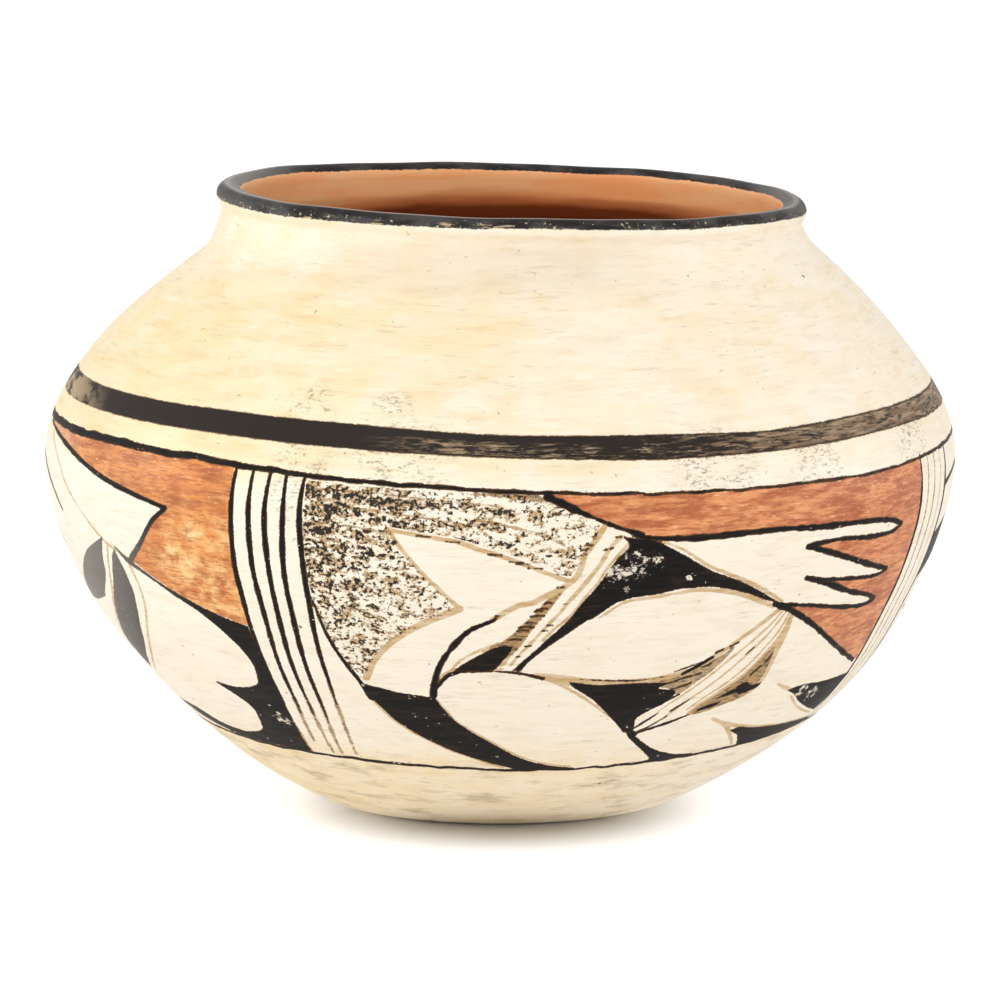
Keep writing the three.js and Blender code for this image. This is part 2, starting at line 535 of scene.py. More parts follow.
def fill(layer, *runs):
    """Fills the outline made of smooth runs that meet at corners."""
    outline = np.concatenate([smooth_curve(run) for run in runs])
    edge = np.full_like(layer, -reach)
    for turn, height in outline:
        dab(edge, turn, height, 0.0)
    closed = np.concatenate([outline, outline[:1]])
    inner = np.zeros(layer.shape, dtype=bool)
    for row in range(*np.searchsorted(grid_heights, [outline[:, 1].min(), outline[:, 1].max()])):
        height = grid_heights[row]
        crossing = np.nonzero((closed[:-1, 1] <= height) != (closed[1:, 1] <= height))[0]
        start, end = closed[crossing], closed[crossing + 1]
        sideways = (height - start[:, 1]) * (end[:, 0] - start[:, 0]) / (end[:, 1] - start[:, 1])
        turns = np.sort(start[:, 0] + sideways)
        for left, right in turns.reshape(-1, 2):
            columns = np.arange(math.ceil(left / grid_step), math.floor(right / grid_step) + 1)
            inner[row, columns % column_count] = True
    np.maximum(layer, np.where(inner, -edge, edge), out=layer)


brush = np.random.default_rng(7)
black, umber, wash, ochre = layers["black"], layers["umber"], layers["wash"], layers["ochre"]

band_top_line = np.array([
    (-106, 110.0), (-86, 109.9), (-60, 109.5), (-38, 109.2), (-19, 108.3), (0, 106.5), (20, 105.8),
    (35, 104.8), (51, 105.6), (86, 106.4), (120, 107.4), (160, 108.5), (200, 109.2), (254, 110.0)])
band_bottom_line = np.array([
    (-106, 104.7), (-81, 104.6), (-59, 104.3), (-37, 103.8), (-14, 102.3), (0, 101.4), (20, 100.0),
    (38, 100.0), (56, 100.9), (85, 101.1), (120, 102.0), (160, 103.2), (200, 104.0), (254, 104.7)])
frame_top_line = np.array([
    (-106, 98.8), (-85, 98.6), (-70, 98.5), (-55, 98.7), (-40, 98.2), (-30, 97.0), (-20, 95.9),
    (-10, 95.0), (0, 94.0), (10, 93.2), (20, 92.5), (30, 92.2), (40, 92.1), (50, 91.8), (60, 92.4),
    (75, 93.6), (90, 94.6), (120, 96.2), (150, 97.2), (180, 98.0), (220, 98.6), (254, 98.8)])
frame_bottom_line = np.array([
    (-106, 24.6), (-80, 24.2), (-59, 22.9), (-29, 21.5), (0, 20.2), (12, 20.1), (27, 20.9), (45, 22.2),
    (67, 24.3), (90, 25.2), (120, 25.0), (150, 24.5), (180, 24.2), (220, 24.4), (254, 24.6)])


ring_start = -106.0


def ring_height(line, turn):
    """The height of a painted ring at some turns, in degrees."""
    return np.interp((turn - ring_start) % 360.0 + ring_start, line[:, 0], line[:, 1])


def carried(points):
    """Moves points from the front to the panel being painted, between the frame lines there."""
    points = np.array(points, dtype=float)
    turn, there = points[:, 0], points[:, 0] + panel_turn
    low, high = ring_height(frame_bottom_line, turn), ring_height(frame_top_line, turn)
    low_there, high_there = ring_height(frame_bottom_line, there), ring_height(frame_top_line, there)
    share = (points[:, 1] - low) / (high - low)
    return np.stack([there, low_there + share * (high_there - low_there)], axis=1)


def draw(layer, points, width, ends=1.0, rough=0.0):
    """Draws a stroke in the panel being painted."""
    stroke(layer, carried(points), width, ends, rough)


def paint(layer, *runs):
    """Fills an outline in the panel being painted."""
    fill(layer, *[carried(run) for run in runs])


def frame_lines():
    """The two lines that run all round, over and under the painted wall."""
    heavy_turns = [-106, -45, -28, 0, 20, 60, 90, 254]
    heavy_widths = [2.1, 2.1, 1.45, 1.15, 0.9, 0.9, 1.2, 1.35]
    turns = np.arange(ring_start, 255.0, 2.0)
    stretch = 9
    for start in range(0, len(turns) - 1, stretch):
        part = turns[start:start + stretch + 1]
        sway = brush.normal(0.0, 0.1, len(part))
        sway[[0, -1]] = 0.0
        upper = np.stack([part, ring_height(frame_top_line, part) + sway], axis=1)
        lower = np.stack([part, ring_height(frame_bottom_line, part) + sway], axis=1)
        heavy = np.interp(part, heavy_turns, heavy_widths)
        stroke(black, upper, heavy * brush.uniform(0.9, 1.1, len(part)), rough=0.04)
        stroke(black, lower, brush.uniform(1.1, 1.6, 6))


def line_bundles():
    """Two bundles of parallel upright lines that part the panels."""
    left_lines = [
        [(-33.3, 96.8), (-33.6, 85.5), (-33.9, 73.6), (-33.8, 62.5), (-34.4, 47.4), (-36, 30.4),
         (-36.6, 21.7)],
        [(-30.8, 96.7), (-31.1, 86), (-31.3, 74), (-31.1, 63.8), (-31.3, 55), (-32.6, 38.3), (-34.2, 25.8)],
        [(-28.4, 96.4), (-28.9, 86), (-29, 74.4), (-29.1, 57.7), (-30.3, 39.6), (-31.7, 22.6)],
        [(-26.2, 96.4), (-26.4, 86.6), (-26.9, 73.3), (-27, 57.2), (-28.3, 36.6), (-29.9, 22.9)],
        [(-23.8, 96), (-24.2, 87), (-24.2, 75.2), (-24.2, 62), (-24.9, 45.2), (-26.9, 23.1)]]
    for line in left_lines:
        draw(umber, line[-2:], (1.3, 1.2, 1.0, 0.8))
        split = (2 * line[-2][0] + line[-1][0]) / 3, (2 * line[-2][1] + line[-1][1]) / 3
        draw(black, line[:-1] + [split], (1.3, 1.6, 1.7, 1.6, 1.5, 1.3, 0.8), ends=0.8)
    for turn, width, layer in ((64.0, 1.4, black), (66.3, 0.9, umber), (68.7, 0.9, umber),
                               (71.2, 0.8, wash), (73.8, 1.7, black)):
        line = [(turn, 93.2), (turn + 0.3, 80), (turn + 0.2, 65), (turn, 50), (turn + 0.3, 37),
                (turn + 1.4, 25)]
        draw(layer, line, (width, width * 1.1, width, width * 0.7), ends=0.6)


def stippled_field():
    """The upper left of the main panel: brush touches, dense at the left and sparse at the right."""
    field = [(-23.4, 95.2), (-10, 93.9), (4, 92.8), (6.8, 90.3), (11.8, 86), (11, 80.5), (9.5, 76),
             (8.2, 73.2), (5, 76), (0, 79.8), (-5, 82.8), (-10, 84.4), (-13.2, 85.3), (-11.6, 80),
             (-9.6, 74.5), (-7, 69), (-5, 66), (-8, 62.5), (-13, 57.8), (-16.5, 52.5), (-19, 46.8),
             (-20.3, 45.5), (-21.7, 51.9), (-22.8, 58.4), (-23.4, 65), (-23.8, 75), (-23.7, 87)]
    paint(layers["stipple"], field[:5], field[4:8], field[7:13], field[12:17], field[16:22], field[21:])
    draw(umber, [(-22, 93.4), (-15, 93), (-8, 91.8), (-2, 90.9), (2, 89.8)], (0.7, 0.5, 0.3))
    draw(umber, [(-23, 89.8), (-17, 89.2), (-11, 88), (-6, 86.8), (0, 84.6)], (0.7, 0.6, 0.4))
    draw(umber, [(-23, 85.6), (-17, 84.8), (-14, 84)], 0.5)
    draw(umber, [(-3, 87.4), (1, 85.8), (4.5, 84), (7.5, 81.2)], 0.6)


def kite_and_feathers():
    """The white kite and the long feathers that fan out of it."""
    draw(wash, [(-13.2, 84.6), (-10, 83.5), (-5, 82), (-2.3, 80), (0, 78.7), (2.1, 77.1), (4.1, 75.5),
                (5.6, 74.2), (8.2, 72.3)], 1.15)
    for turn, height in ((-9, 83.2), (-5.6, 82), (-0.6, 78.9), (1.9, 77.1), (2.8, 76.6), (4.2, 75.5),
                         (7.6, 73.8)):
        draw(black, [(turn - 0.8, height + 0.1), (turn + 0.8, height - 0.1)], 0.6)
    draw(wash, [(-13.2, 84.6), (-11.6, 79.8), (-9.5, 74.6), (-7, 69.4), (-4.9, 65.3)], 1.1)
    draw(wash, [(-4.9, 65.3), (-9.5, 61.5), (-13, 57.5), (-16.5, 52), (-19, 46)], 1.7)
    draw(wash, [(12.4, 85.8), (11.9, 84), (10.9, 81), (10, 78.3), (9.6, 75), (8.9, 72.6), (7.4, 70.4),
                (5.7, 68.6), (4, 66.9), (2.3, 66.2), (1.2, 65.1), (-0.1, 63.6), (-1, 62.4)], 1.5)
    draw(black, [(0.5, 63.7), (-0.6, 63.5)], 0.6)
    draw(black, [(-0.5, 62.8), (-1.5, 61.8), (-4, 59.5), (-6.5, 54.5), (-8.3, 50), (-9.5, 45), (-10, 42)],
         (1.1, 1.5, 1.5, 1.6, 1.8), rough=0.2)
    draw(wash, [(14.2, 82.6), (13, 79.9), (12, 76.2), (11, 73.4), (9.7, 70), (8.2, 66.5), (7.3, 63.9),
                (6.2, 61.6), (3.8, 56.1), (3, 54.6), (2.2, 52.9), (1.2, 50.6)], (1.2, 1.2, 1.1, 0.8, 0.7))
    for turn, height in ((14.1, 82.6), (13, 80), (12.7, 79.6), (11, 83), (10.6, 80.9), (10, 78.6),
                         (8.2, 66.4), (6.2, 61), (5.6, 59.6), (3.6, 55.6), (2.4, 52.9), (7.4, 70.6)):
        draw(black, [(turn - 0.4, height), (turn + 0.35, height + 0.1)], 0.6)
    draw(wash, [(15.4, 81), (14, 78), (12.7, 74.6), (11.9, 71.7), (10.5, 68.3), (9.4, 65), (8, 62),
                (6.8, 60), (5.5, 57.3)], 0.8)
    paint(wash, [(8.9, 72.6), (6.7, 69.2), (5.5, 67.2), (4.5, 64.3), (3, 61.6), (1.7, 59.2), (0.2, 56.5)],
          [(0.2, 56.5), (-2.4, 55)],
          [(-2.4, 50), (0.2, 50.3), (1, 52.3), (2.3, 55), (3.2, 57.4), (4.2, 60.3), (5.5, 63.7),
           (6.7, 66.6), (7.7, 69.5), (8.9, 72.6)])
    paint(umber, [(7.6, 69.8), (6.2, 68), (5.5, 67.2), (4.5, 64.3), (3, 61.6), (1.7, 59.2), (0.4, 57)],
          [(0.4, 57), (-1.5, 55), (0, 53), (1.4, 53)],
          [(1.4, 53), (2.3, 55), (3.2, 57.4), (4.2, 60.3), (5.5, 63.7), (6.7, 66.6), (7.6, 69.8)])
    for turn, height, long in ((4.6, 63.4, 0.8), (3.9, 61.8, 0.5), (3.3, 60.6, 0.9), (2.8, 59.7, 0.7),
                               (1.9, 57.4, 0.7), (5.9, 66.7, 0.4), (5.2, 65.3, 0.6), (4.7, 64.8, 0.4)):
        draw(black, [(turn - long, height - 0.1), (turn, height + 0.15), (turn + long, height)], 0.75)
    draw(wash, [(-7, 48.5), (-5.5, 51.5), (-3, 54.3), (-0.4, 56.4)], 0.7)
    paint(black, [(-7, 47.3), (-6.4, 49), (-5, 51), (-3, 53.1), (-1.2, 54.9), (0.4, 55.9), (1.6, 55.6)],
          [(1.6, 55.6), (1.2, 53.8), (0.2, 51.6), (-0.8, 49.4)],
          [(-0.8, 49.4), (-2.4, 49), (-4.5, 48.9), (-7, 47.3)])


def black_field():
    """The large black field under the red one, with its long tail to the centre."""
    paint(black,
          [(14.4, 83), (15.8, 82.3), (18.5, 81.5), (22, 78), (25.8, 73.6), (29, 71), (32, 68.6),
           (35.5, 65.2), (38, 62.6)],
          [(38, 62.6), (35.5, 63.9), (32.2, 66.2), (29, 67.9), (26, 68.9), (22.5, 68.8), (19.7, 68),
           (16.4, 67.3), (14.7, 66.4), (13.5, 65.1), (12.3, 63.4), (11.2, 62.2)],
          [(11.2, 62.2), (10.1, 61.8), (9, 60.3), (7.6, 58), (5.5, 55.2), (4.2, 53.4), (3, 51.3),
           (2.6, 49)],
          [(2.6, 49), (1.4, 49.3)],
          [(1.4, 49.3), (2.3, 50.7), (3, 51.9), (4.7, 54.9), (6, 57.4), (7.4, 60.1), (8.7, 62.8),
           (9.9, 66.2), (10.8, 68.3), (12.1, 71.7), (13, 74.6), (14, 77.4), (15.4, 80.4), (14.4, 83)])
    draw(black, [(10.4, 62.4), (7.9, 58.6), (5.3, 54.9), (3.6, 52.2), (2.2, 49.6)], (1.9, 1.5, 1.4, 1.5))
    draw(wash, [(18, 82), (22, 79), (25.8, 74.4), (29, 71.7), (32, 69.2), (35.5, 65.9), (38.3, 63)],
         (0.7, 0.6, 0.9, 1.1, 0.9))
    draw(wash, [(12.4, 62.6), (14.7, 65.6), (16.4, 66.7), (20, 67.4), (25, 68.3), (29, 67.3), (32, 65.9),
                (37, 62)], (0.6, 0.9, 0.9, 1.2, 1.6, 1.2))


def red_field():
    """The red-ochre field of the main panel and the black feather tips that stand in it."""
    paint(ochre, [(5.4, 93.3), (10, 93), (20, 92.4), (30, 92.1), (40, 92), (50, 91.8), (63.8, 92.6)],
          [(63.9, 91.5), (64, 79.7), (64.3, 69.9), (63.8, 59.7), (63.6, 49.8), (64, 41.5)],
          [(62.5, 41.5), (57, 44.6), (51, 50), (45, 56), (38, 62)],
          [(38, 62), (44, 61), (50, 59), (56, 57.8), (58.4, 58.7)],
          [(58.4, 58.9), (55, 61), (51, 62.8), (46.5, 65.6), (41.5, 68)],
          [(41.5, 68.4), (45, 67.2), (50, 66.2), (56, 65.3), (58.7, 66.3)],
          [(58.7, 66.5), (55, 68.2), (50, 71), (44.5, 74.2), (40.5, 76.2)],
          [(40.5, 76.5), (46, 77.1), (52, 76.2), (57, 76.1), (59.2, 77.5)],
          [(59.2, 77.7), (56, 79.4), (50, 80.5), (42, 81), (36, 81.7), (30, 81.7), (24, 81.5), (18.4, 82),
           (16, 83.2), (11.7, 87), (7.3, 91)])
    draw(umber, [(-3, 93.4), (0, 93), (3, 92.6), (5.4, 92)], (0.6, 1.0, 1.5))
    feather_edges = (
        ([(5.6, 92.6), (7, 91.3), (9, 89.3), (11.6, 87), (14.2, 84.8), (17, 82.9)],
         (1.9, 2.1, 1.2, 1.1, 1.4)),
        ([(16, 83), (18.4, 82), (24, 81.4), (30, 81.6), (36, 81.6), (42, 80.9), (50, 80.4), (56, 79.4),
          (59.3, 77.6)], (1.2, 1.8, 1.4, 1.7, 1.6, 1.4)),
        ([(59.3, 77.4), (57, 76.1), (52, 76.1), (46, 77), (40.4, 76.5)], (1.4, 1.4, 1.3, 1.3)),
        ([(40.4, 76.3), (44.3, 74.3), (50, 70.9), (55, 68.1), (58.8, 66.4)], (1.3, 1.8, 1.6, 1.4)),
        ([(58.8, 66.2), (56, 65.3), (50, 66.1), (45, 67.1), (41.4, 68.4)], (1.2, 1.3, 1.3, 1.1)),
        ([(41.4, 68.1), (46.3, 65.5), (51, 62.6), (56, 60.4), (58.5, 58.9)], (1.1, 1.7, 1.5, 1.3)),
        ([(58.5, 58.5), (55.5, 57.8), (50, 58.8), (44, 60.7), (38, 62.2)], (1.4, 1.5, 1.3, 1.2)),
        ([(37.2, 62.6), (40, 60.6), (45, 56), (51, 50.1), (57, 45), (62.7, 41.3)],
         (2.2, 1.5, 1.5, 1.4, 1.3)))
    for points, widths in feather_edges:
        draw(black, points, widths, rough=0.18)


def eye_leaf():
    """The pale leaf at the centre, its lower edge, and the black wedge under it."""
    draw(black, [(-9.2, 44.4), (-7.2, 47.8), (-4.9, 48.8), (-0.3, 48.9), (3, 48.1), (5.4, 46.9)],
         (1.2, 1.3, 0.8, 0.7, 0.9, 1.2))
    draw(wash, [(-9.6, 44), (-8.6, 46.6), (-6.4, 49.2), (-3.5, 49.4), (0, 49.5)], 1.0)
    draw(wash, [(5.2, 47.2), (7.5, 45.4), (11.7, 40.6), (16.9, 33.6)], (1.2, 1.0, 0.8, 0.5))
    draw(wash, [(4.5, 47.9), (8, 47.3), (12.6, 46), (19.4, 45.5), (24, 46.2), (27.4, 47.6), (30.7, 50.2)],
         (1.2, 1.0, 0.8, 1.0, 1.6, 1.6))
    paint(wash, [(5, 47.3), (9, 46.9), (14, 45.7), (20, 45.3), (25, 46.2)],
          [(25, 45), (23.7, 43.6), (12.6, 43.8)],
          [(12.6, 41), (9.4, 44.4), (5, 47.3)])
    draw(black, [(10.5, 46.4), (15, 45.7), (19.4, 45.4), (23, 46)], (0.5, 0.7, 0.4))
    draw(black, [(25.3, 46.2), (27.2, 47.9), (29.4, 50.1)], (1.0, 1.5, 1.0))
    draw(black, [(24, 47), (26, 48.1), (28.5, 49.4)], (0.4, 0.8, 0.5))
    paint(black, [(8.8, 46), (12.6, 44.8), (16, 44.7), (20, 44.6), (23.7, 44.2)],
          [(23.7, 43.9), (22.2, 43)],
          [(22.2, 42.7), (25, 41.5), (23.7, 38.4), (21.6, 36.6), (19.9, 34.4), (20, 32), (18.7, 30.6)],
          [(18.5, 30.6), (16.9, 33.2), (15.2, 36), (12.6, 40.4), (9.6, 44.2)])
    paint(umber, [(22, 45), (25.5, 46), (30.5, 50), (32.5, 53)],
          [(32.5, 51.6), (30, 46.5), (27, 42.5), (24.4, 39)],
          [(24.4, 39), (25, 41.6), (22.5, 43)])
    for line in ([(24.5, 44.6), (26.5, 45.4), (28.2, 46)], [(24.2, 42.2), (25.6, 42.8), (27, 43.6)],
                 [(29.8, 51.2), (30.8, 52)], [(31.8, 52.6), (33, 53.4)], [(28.2, 47.6), (29.5, 48.4)],
                 [(21, 37), (23.4, 38.6), (25.6, 40.6)], [(21, 43.4), (24.8, 44.5)]):
        draw(black, line, 0.8)
    paint(black,
          [(18.7, 32), (20.7, 29.5), (22.8, 27.3), (25.3, 25.1), (28.2, 23.5), (30.9, 22.5), (35, 22)],
          [(35, 21.2), (27.3, 21), (25.6, 22.4)], [(25.4, 22.6), (22.2, 26), (19.5, 29.3)])
    draw(black, [(20.5, 29.8), (19.4, 31), (18, 32.6)], 1.8)


def narrow_feathers():
    """A second fan of thin lines from the centre down to the left, and the olive wedge beside it."""
    draw(wash, [(38.2, 60.9), (36, 57.9), (33.5, 54.8), (31.8, 52.6), (29.5, 49.6)], (1.5, 1.4, 1.4, 1.2))
    draw(wash, [(38.9, 60.4), (37.3, 56.8), (34.6, 52.3), (32.6, 49.4), (30.9, 46.7), (28.9, 43.8),
                (26.5, 40.6), (24, 37.4), (22.6, 35)], (0.8, 0.8, 0.7, 0.6))
    draw(black, [(23.2, 35.7), (21.6, 33.6), (19.8, 31.4)], (0.6, 0.9, 0.9))
    draw(wash, [(39.5, 60), (37.6, 54.6), (34.9, 49.4), (33, 46.3), (31.1, 43.4), (29, 40.6), (26.8, 37.8),
                (24.6, 34.4)], (0.8, 0.8, 0.7, 0.7))
    draw(black, [(35.9, 51.5), (34.9, 50)], 0.6)
    draw(black, [(27.6, 38.8), (26.2, 37.2), (25.2, 36)], 0.7)
    draw(black, [(24.9, 34.6), (22.8, 32.2), (20.8, 30.4)], (0.6, 0.9, 0.9))
    draw(wash, [(40.2, 59.6), (39.3, 54.8), (37.5, 50.2), (35.7, 46.4), (33.2, 42.6), (30, 38.9),
                (28, 36)], 0.7)
    wedge = [[(40.4, 59.4), (39.9, 54.8), (38.3, 50.2), (36.4, 46), (33.6, 42), (30.3, 38.3),
              (28.2, 35.2)],
             [(28.2, 34), (30.8, 34.5), (34, 36), (36.6, 37.4), (39, 39.3), (40.2, 42.6), (40.7, 48.3),
              (41.2, 54), (41.2, 59)]]
    paint(wash, *wedge)
    paint(umber, [(39.7, 51.5), (38.3, 49), (36.4, 45), (33.6, 41), (30.3, 37.4), (28.8, 35.2)],
          [(28.8, 34.4), (30.8, 34.7), (34, 36.2), (36.6, 37.6), (38.4, 39.6), (39.4, 42.6), (39.9, 47)])
    draw(black, [(28.6, 34.4), (25.3, 32.4), (21.2, 30.4)], (0.7, 1.3, 1.0))
    paint(black, [(37, 42.2), (38, 41), (39.8, 41.4)], [(39.6, 40.2), (38.4, 39.4), (36.4, 38.6)],
          [(35.6, 39.3), (34, 38.6), (33, 38.3), (32, 37.3)],
          [(32.6, 38.6), (34.6, 40.4), (36, 41.8), (37, 42.2)])
    paint(black, [(33.8, 37.4), (32.6, 36), (30.4, 35.2)],
          [(29.6, 34.9), (30, 36), (32, 37), (33.8, 37.4)])
    draw(black, [(39.7, 49.2), (39.3, 47.6), (38.6, 46)], (0.6, 1.1, 0.5))
    draw(black, [(38.3, 46), (37, 43.8)], (1.0, 0.8))


def lower_shapes():
    """Along the foot of the main panel: the black crescent, and the black leaf tips at the right."""
    paint(black, [(-19.6, 44.5), (-17.5, 43.6), (-15, 42.6), (-12.5, 42), (-10.1, 41.5)],
          [(-9.7, 41), (-8.8, 37.6), (-6.7, 33.5), (-2.7, 28.8), (1.9, 24.4), (6.8, 21.8), (12.4, 20.5)],
          [(12.4, 19.9), (6, 20), (1.4, 20.4)],
          [(1.4, 20.6), (-3.7, 22.8), (-10.5, 27.1), (-16.3, 33.3), (-19.4, 40.4)])
    draw(black, [(-24.2, 68.7), (-23.5, 65), (-22.8, 58.4), (-21.7, 51.9), (-20.1, 45.1), (-19.4, 40.4)],
         (0.7, 1.0, 1.2, 1.4, 1.6))
    draw(wash, [(-19.7, 41), (-16.6, 33.6), (-10.8, 27.4), (-4.1, 23), (-0.5, 21)], 0.9)
    draw(wash, [(-9.8, 41.2), (-8.9, 38), (-7, 34), (-3, 29.3), (1.6, 24.9), (6.5, 22.2), (11.5, 21)], 0.8)
    draw(wash, [(43.6, 40), (45.4, 38.7), (48, 37.2)], (0.7, 1.2, 1.2))
    paint(black, [(47, 37.5), (49, 38.1), (52, 38.1), (55, 37.7), (60, 37.6), (65, 37.6)],
          [(65, 37.6), (64.6, 32), (63.6, 27.7)],
          [(63.4, 27.7), (58, 29.8), (53, 32.6), (49.8, 35.3), (47, 37.2)])
    draw(wash, [(48.8, 35.4), (52.5, 32), (57, 29.4), (63, 27)], 0.8)
    draw(wash, [(33.7, 32.4), (36.8, 30.6), (40.6, 28.9), (45, 27.6), (51.8, 26.5), (60, 26), (66, 25.8)],
         (0.8, 1.6, 1.4, 0.9, 0.7))
    draw(wash, [(34, 32), (37.4, 29.8), (40, 26.8), (43.4, 22.9)], (0.8, 1.5, 1.2, 0.8))
    paint(black, [(39.6, 28), (41.4, 28.5), (44, 27.7), (49, 26.9), (55, 26.3), (60, 25.9), (66, 25.4)],
          [(66, 24.4), (60, 23.5), (55, 22.9), (49, 22.5), (45.4, 21.9)],
          [(45, 22.3), (43.6, 24.3), (42.2, 26), (41.2, 26.6), (39.6, 27.6)])


def side_panel():
    """The narrow panel beside the left bundle: a stepped red field over a curling black one."""
    paint(ochre, [(-33.6, 97.4), (-33.9, 85), (-33.9, 73.6), (-33.8, 62.5), (-34.3, 57.6)],
          [(-34.6, 57.6), (-39, 59.6), (-45.6, 63.9), (-53, 70.1)],
          [(-53, 70.1), (-50, 75), (-47, 81), (-44.1, 85.1)],
          [(-44.3, 85.3), (-49, 86.9), (-55.6, 89.1), (-62, 91.6), (-67.7, 93.8), (-74, 95.6),
           (-81, 97.4)],
          [(-81, 98.4), (-60, 98.5), (-40, 98.2)])
    draw(black, [(-82, 97.3), (-74, 95.7), (-67.7, 93.8), (-62, 91.6), (-55.6, 89.1), (-49, 86.9),
                 (-44, 85.2)], (0.8, 1.2, 1.4, 1.5, 1.5, 1.3))
    draw(black, [(-44.1, 85.1), (-47, 81), (-50, 75), (-53.1, 70)], (1.3, 1.5, 1.5, 1.8))
    draw(wash, [(-78.2, 95.6), (-72, 90), (-68.2, 84.2), (-63, 78), (-59.4, 73.9), (-56, 71.5), (-53, 70)],
         0.8)
    paint(black, [(-57.3, 73.7), (-53.1, 70), (-45.6, 63.9), (-39, 59.6), (-34.3, 57.4)],
          [(-34.3, 57.2), (-34.4, 47.4), (-35.2, 38.5), (-36, 30.4), (-36.6, 22.2)],
          [(-36.8, 22.2), (-45, 22.5), (-54.3, 23), (-60, 24), (-66, 25.7), (-72, 28.5)],
          [(-72, 28.8), (-63.9, 28.5), (-57.9, 25.8), (-51, 24.9)],
          [(-51, 24.9), (-46.8, 26), (-44.5, 27.8), (-43.1, 32.8), (-44.6, 36.2), (-47.6, 39.4)],
          [(-47.6, 39.8), (-44.5, 39.3), (-41.7, 39.5), (-39.4, 40.4), (-37.8, 41.9), (-36.7, 46.4),
           (-37.4, 51), (-39.3, 55.1), (-42.2, 59.4), (-45.8, 62.6), (-50, 66.2), (-54.4, 69.3)])
    paint(black,
          [(-56.6, 72), (-55.5, 67), (-55.3, 63), (-55.5, 60), (-57.5, 54), (-61, 47), (-66, 41.5),
           (-71, 37)],
          [(-72, 39), (-71, 44), (-66, 52), (-61, 61), (-59, 66), (-57.5, 70.5)])
    draw(wash, [(-53.8, 69.2), (-53.2, 63), (-54.2, 57), (-57.6, 50), (-62, 43.6), (-68, 37.6)], 0.9)
    draw(wash, [(-58.2, 72.4), (-60.2, 65), (-62.4, 59), (-67.4, 50.4), (-73, 42)], 0.9)
    paint(black, [(-59, 74.4), (-60.6, 69), (-61.8, 64), (-66, 57.4)],
          [(-66.4, 57), (-72, 54.6), (-78, 53.8)],
          [(-78.2, 54.2), (-73, 61), (-66, 69)])
    draw(wash, [(-78, 53.4), (-84, 51), (-90, 49.6), (-97, 50.4), (-104, 53.6)], (1.2, 1.5, 1.3))
    draw(wash, [(-74, 37), (-82, 33.4), (-90, 32), (-98, 33.2), (-105, 37)], (1.3, 1.6, 1.2))
    paint(black, [(-105.5, 62), (-99, 66), (-92, 68.2), (-84, 68.6), (-78.4, 66.5)],
          [(-78.6, 67.4), (-84, 73.6), (-92, 77), (-99, 77), (-105.5, 74.6)])
    draw(black, [(-105.8, 88), (-98, 90.4), (-90, 90.6), (-83, 88.4), (-77, 83.2), (-72.6, 77.4)],
         (1.5, 1.6, 1.3))
    paint(black, [(-75, 29.6), (-82, 30), (-90, 29.4), (-99, 29.2), (-105.5, 31)],
          [(-105.5, 25.4), (-90, 25.6), (-75, 26.2)])


frame_lines()
for panel_turn in (0.0, 180.0):
    line_bundles()
    stippled_field()
    kite_and_feathers()
    black_field()
    red_field()
    eye_leaf()
    narrow_feathers()
    lower_shapes()
    side_panel()

# The wide band is measured from its two edges, along the wall
degrees = np.degrees(grid_turns)
slope = 1.0 / np.interp(grid_heights, outside[:, 1], directions(outside)[:, 1])[:, None]
over = (ring_height(band_top_line, degrees)[None, :] - grid_heights[:, None]) * slope
under = (grid_heights[:, None] - ring_height(band_bottom_line, degrees)[None, :]) * slope
layers["band"] = np.minimum(over, under)
band_drop = np.clip(over / np.maximum(over + under, 1.0), 0.0, 1.0)

# The stipple was pressed harder at the left and high up, in rows that show most near the top
bundle_turn = 34.0
field_left = -24.0
row_gap = 4.5
from_panel = ((degrees + bundle_turn) % 180.0 - bundle_turn)[None, :]
low_down = np.maximum(0.0, 82.0 - grid_heights)[:, None]
pressure = 0.60 - 0.010 * (from_panel - field_left) - 0.004 * low_down
pressure = np.maximum(pressure, 0.34) + 0.06 * smoothstep(83.0, 90.0, grid_heights)[:, None]
row_sway = 0.14 * from_panel + 0.8 * np.sin(np.radians(from_panel * 24.0))
rows_shown = (0.04 + 0.09 * smoothstep(74.0, 88.0, grid_heights))[:, None]
rows = np.cos((grid_heights[:, None] - 94.0 + row_sway) * 2 * np.pi / row_gap)
pressure = pressure + rows_shown * rows


def as_share(depth):
    """A depth inside a painted shape as 0 to 1, with 0.5 on the shape's edge."""
    return np.clip(0.5 + depth / (2 * reach), 0.0, 1.0)


def write_attribute(piece, name, values):
    """Writes one number for each point of a piece's mesh."""
    count = len(piece.data.vertices)
    full = np.zeros(count, dtype=np.float32)
    full[:values.size] = values.reshape(-1)
    piece.data.attributes.new(name, "FLOAT", "POINT").data.foreach_set("value", full)


for piece, first, start, count in row_owners:
    for name, layer in layers.items():
        depth = np.full((first + count, column_count), -reach)
        depth[first:] = layer[start:start + count]
        write_attribute(piece, name, as_share(depth))
    force = np.zeros((first + count, column_count))
    force[first:] = np.clip(pressure[start:start + count], 0.0, 1.0)
    write_attribute(piece, "pressure", force)
    force[first:] = band_drop[start:start + count]
    write_attribute(piece, "band_drop", force)

for piece in clay_pieces:
    outer, columns = walls[piece.name]
    slipped = len(outer) * columns
    bare = np.concatenate([np.zeros(slipped), np.ones(len(piece.data.vertices) - slipped)])
    write_attribute(piece, "bare", bare)

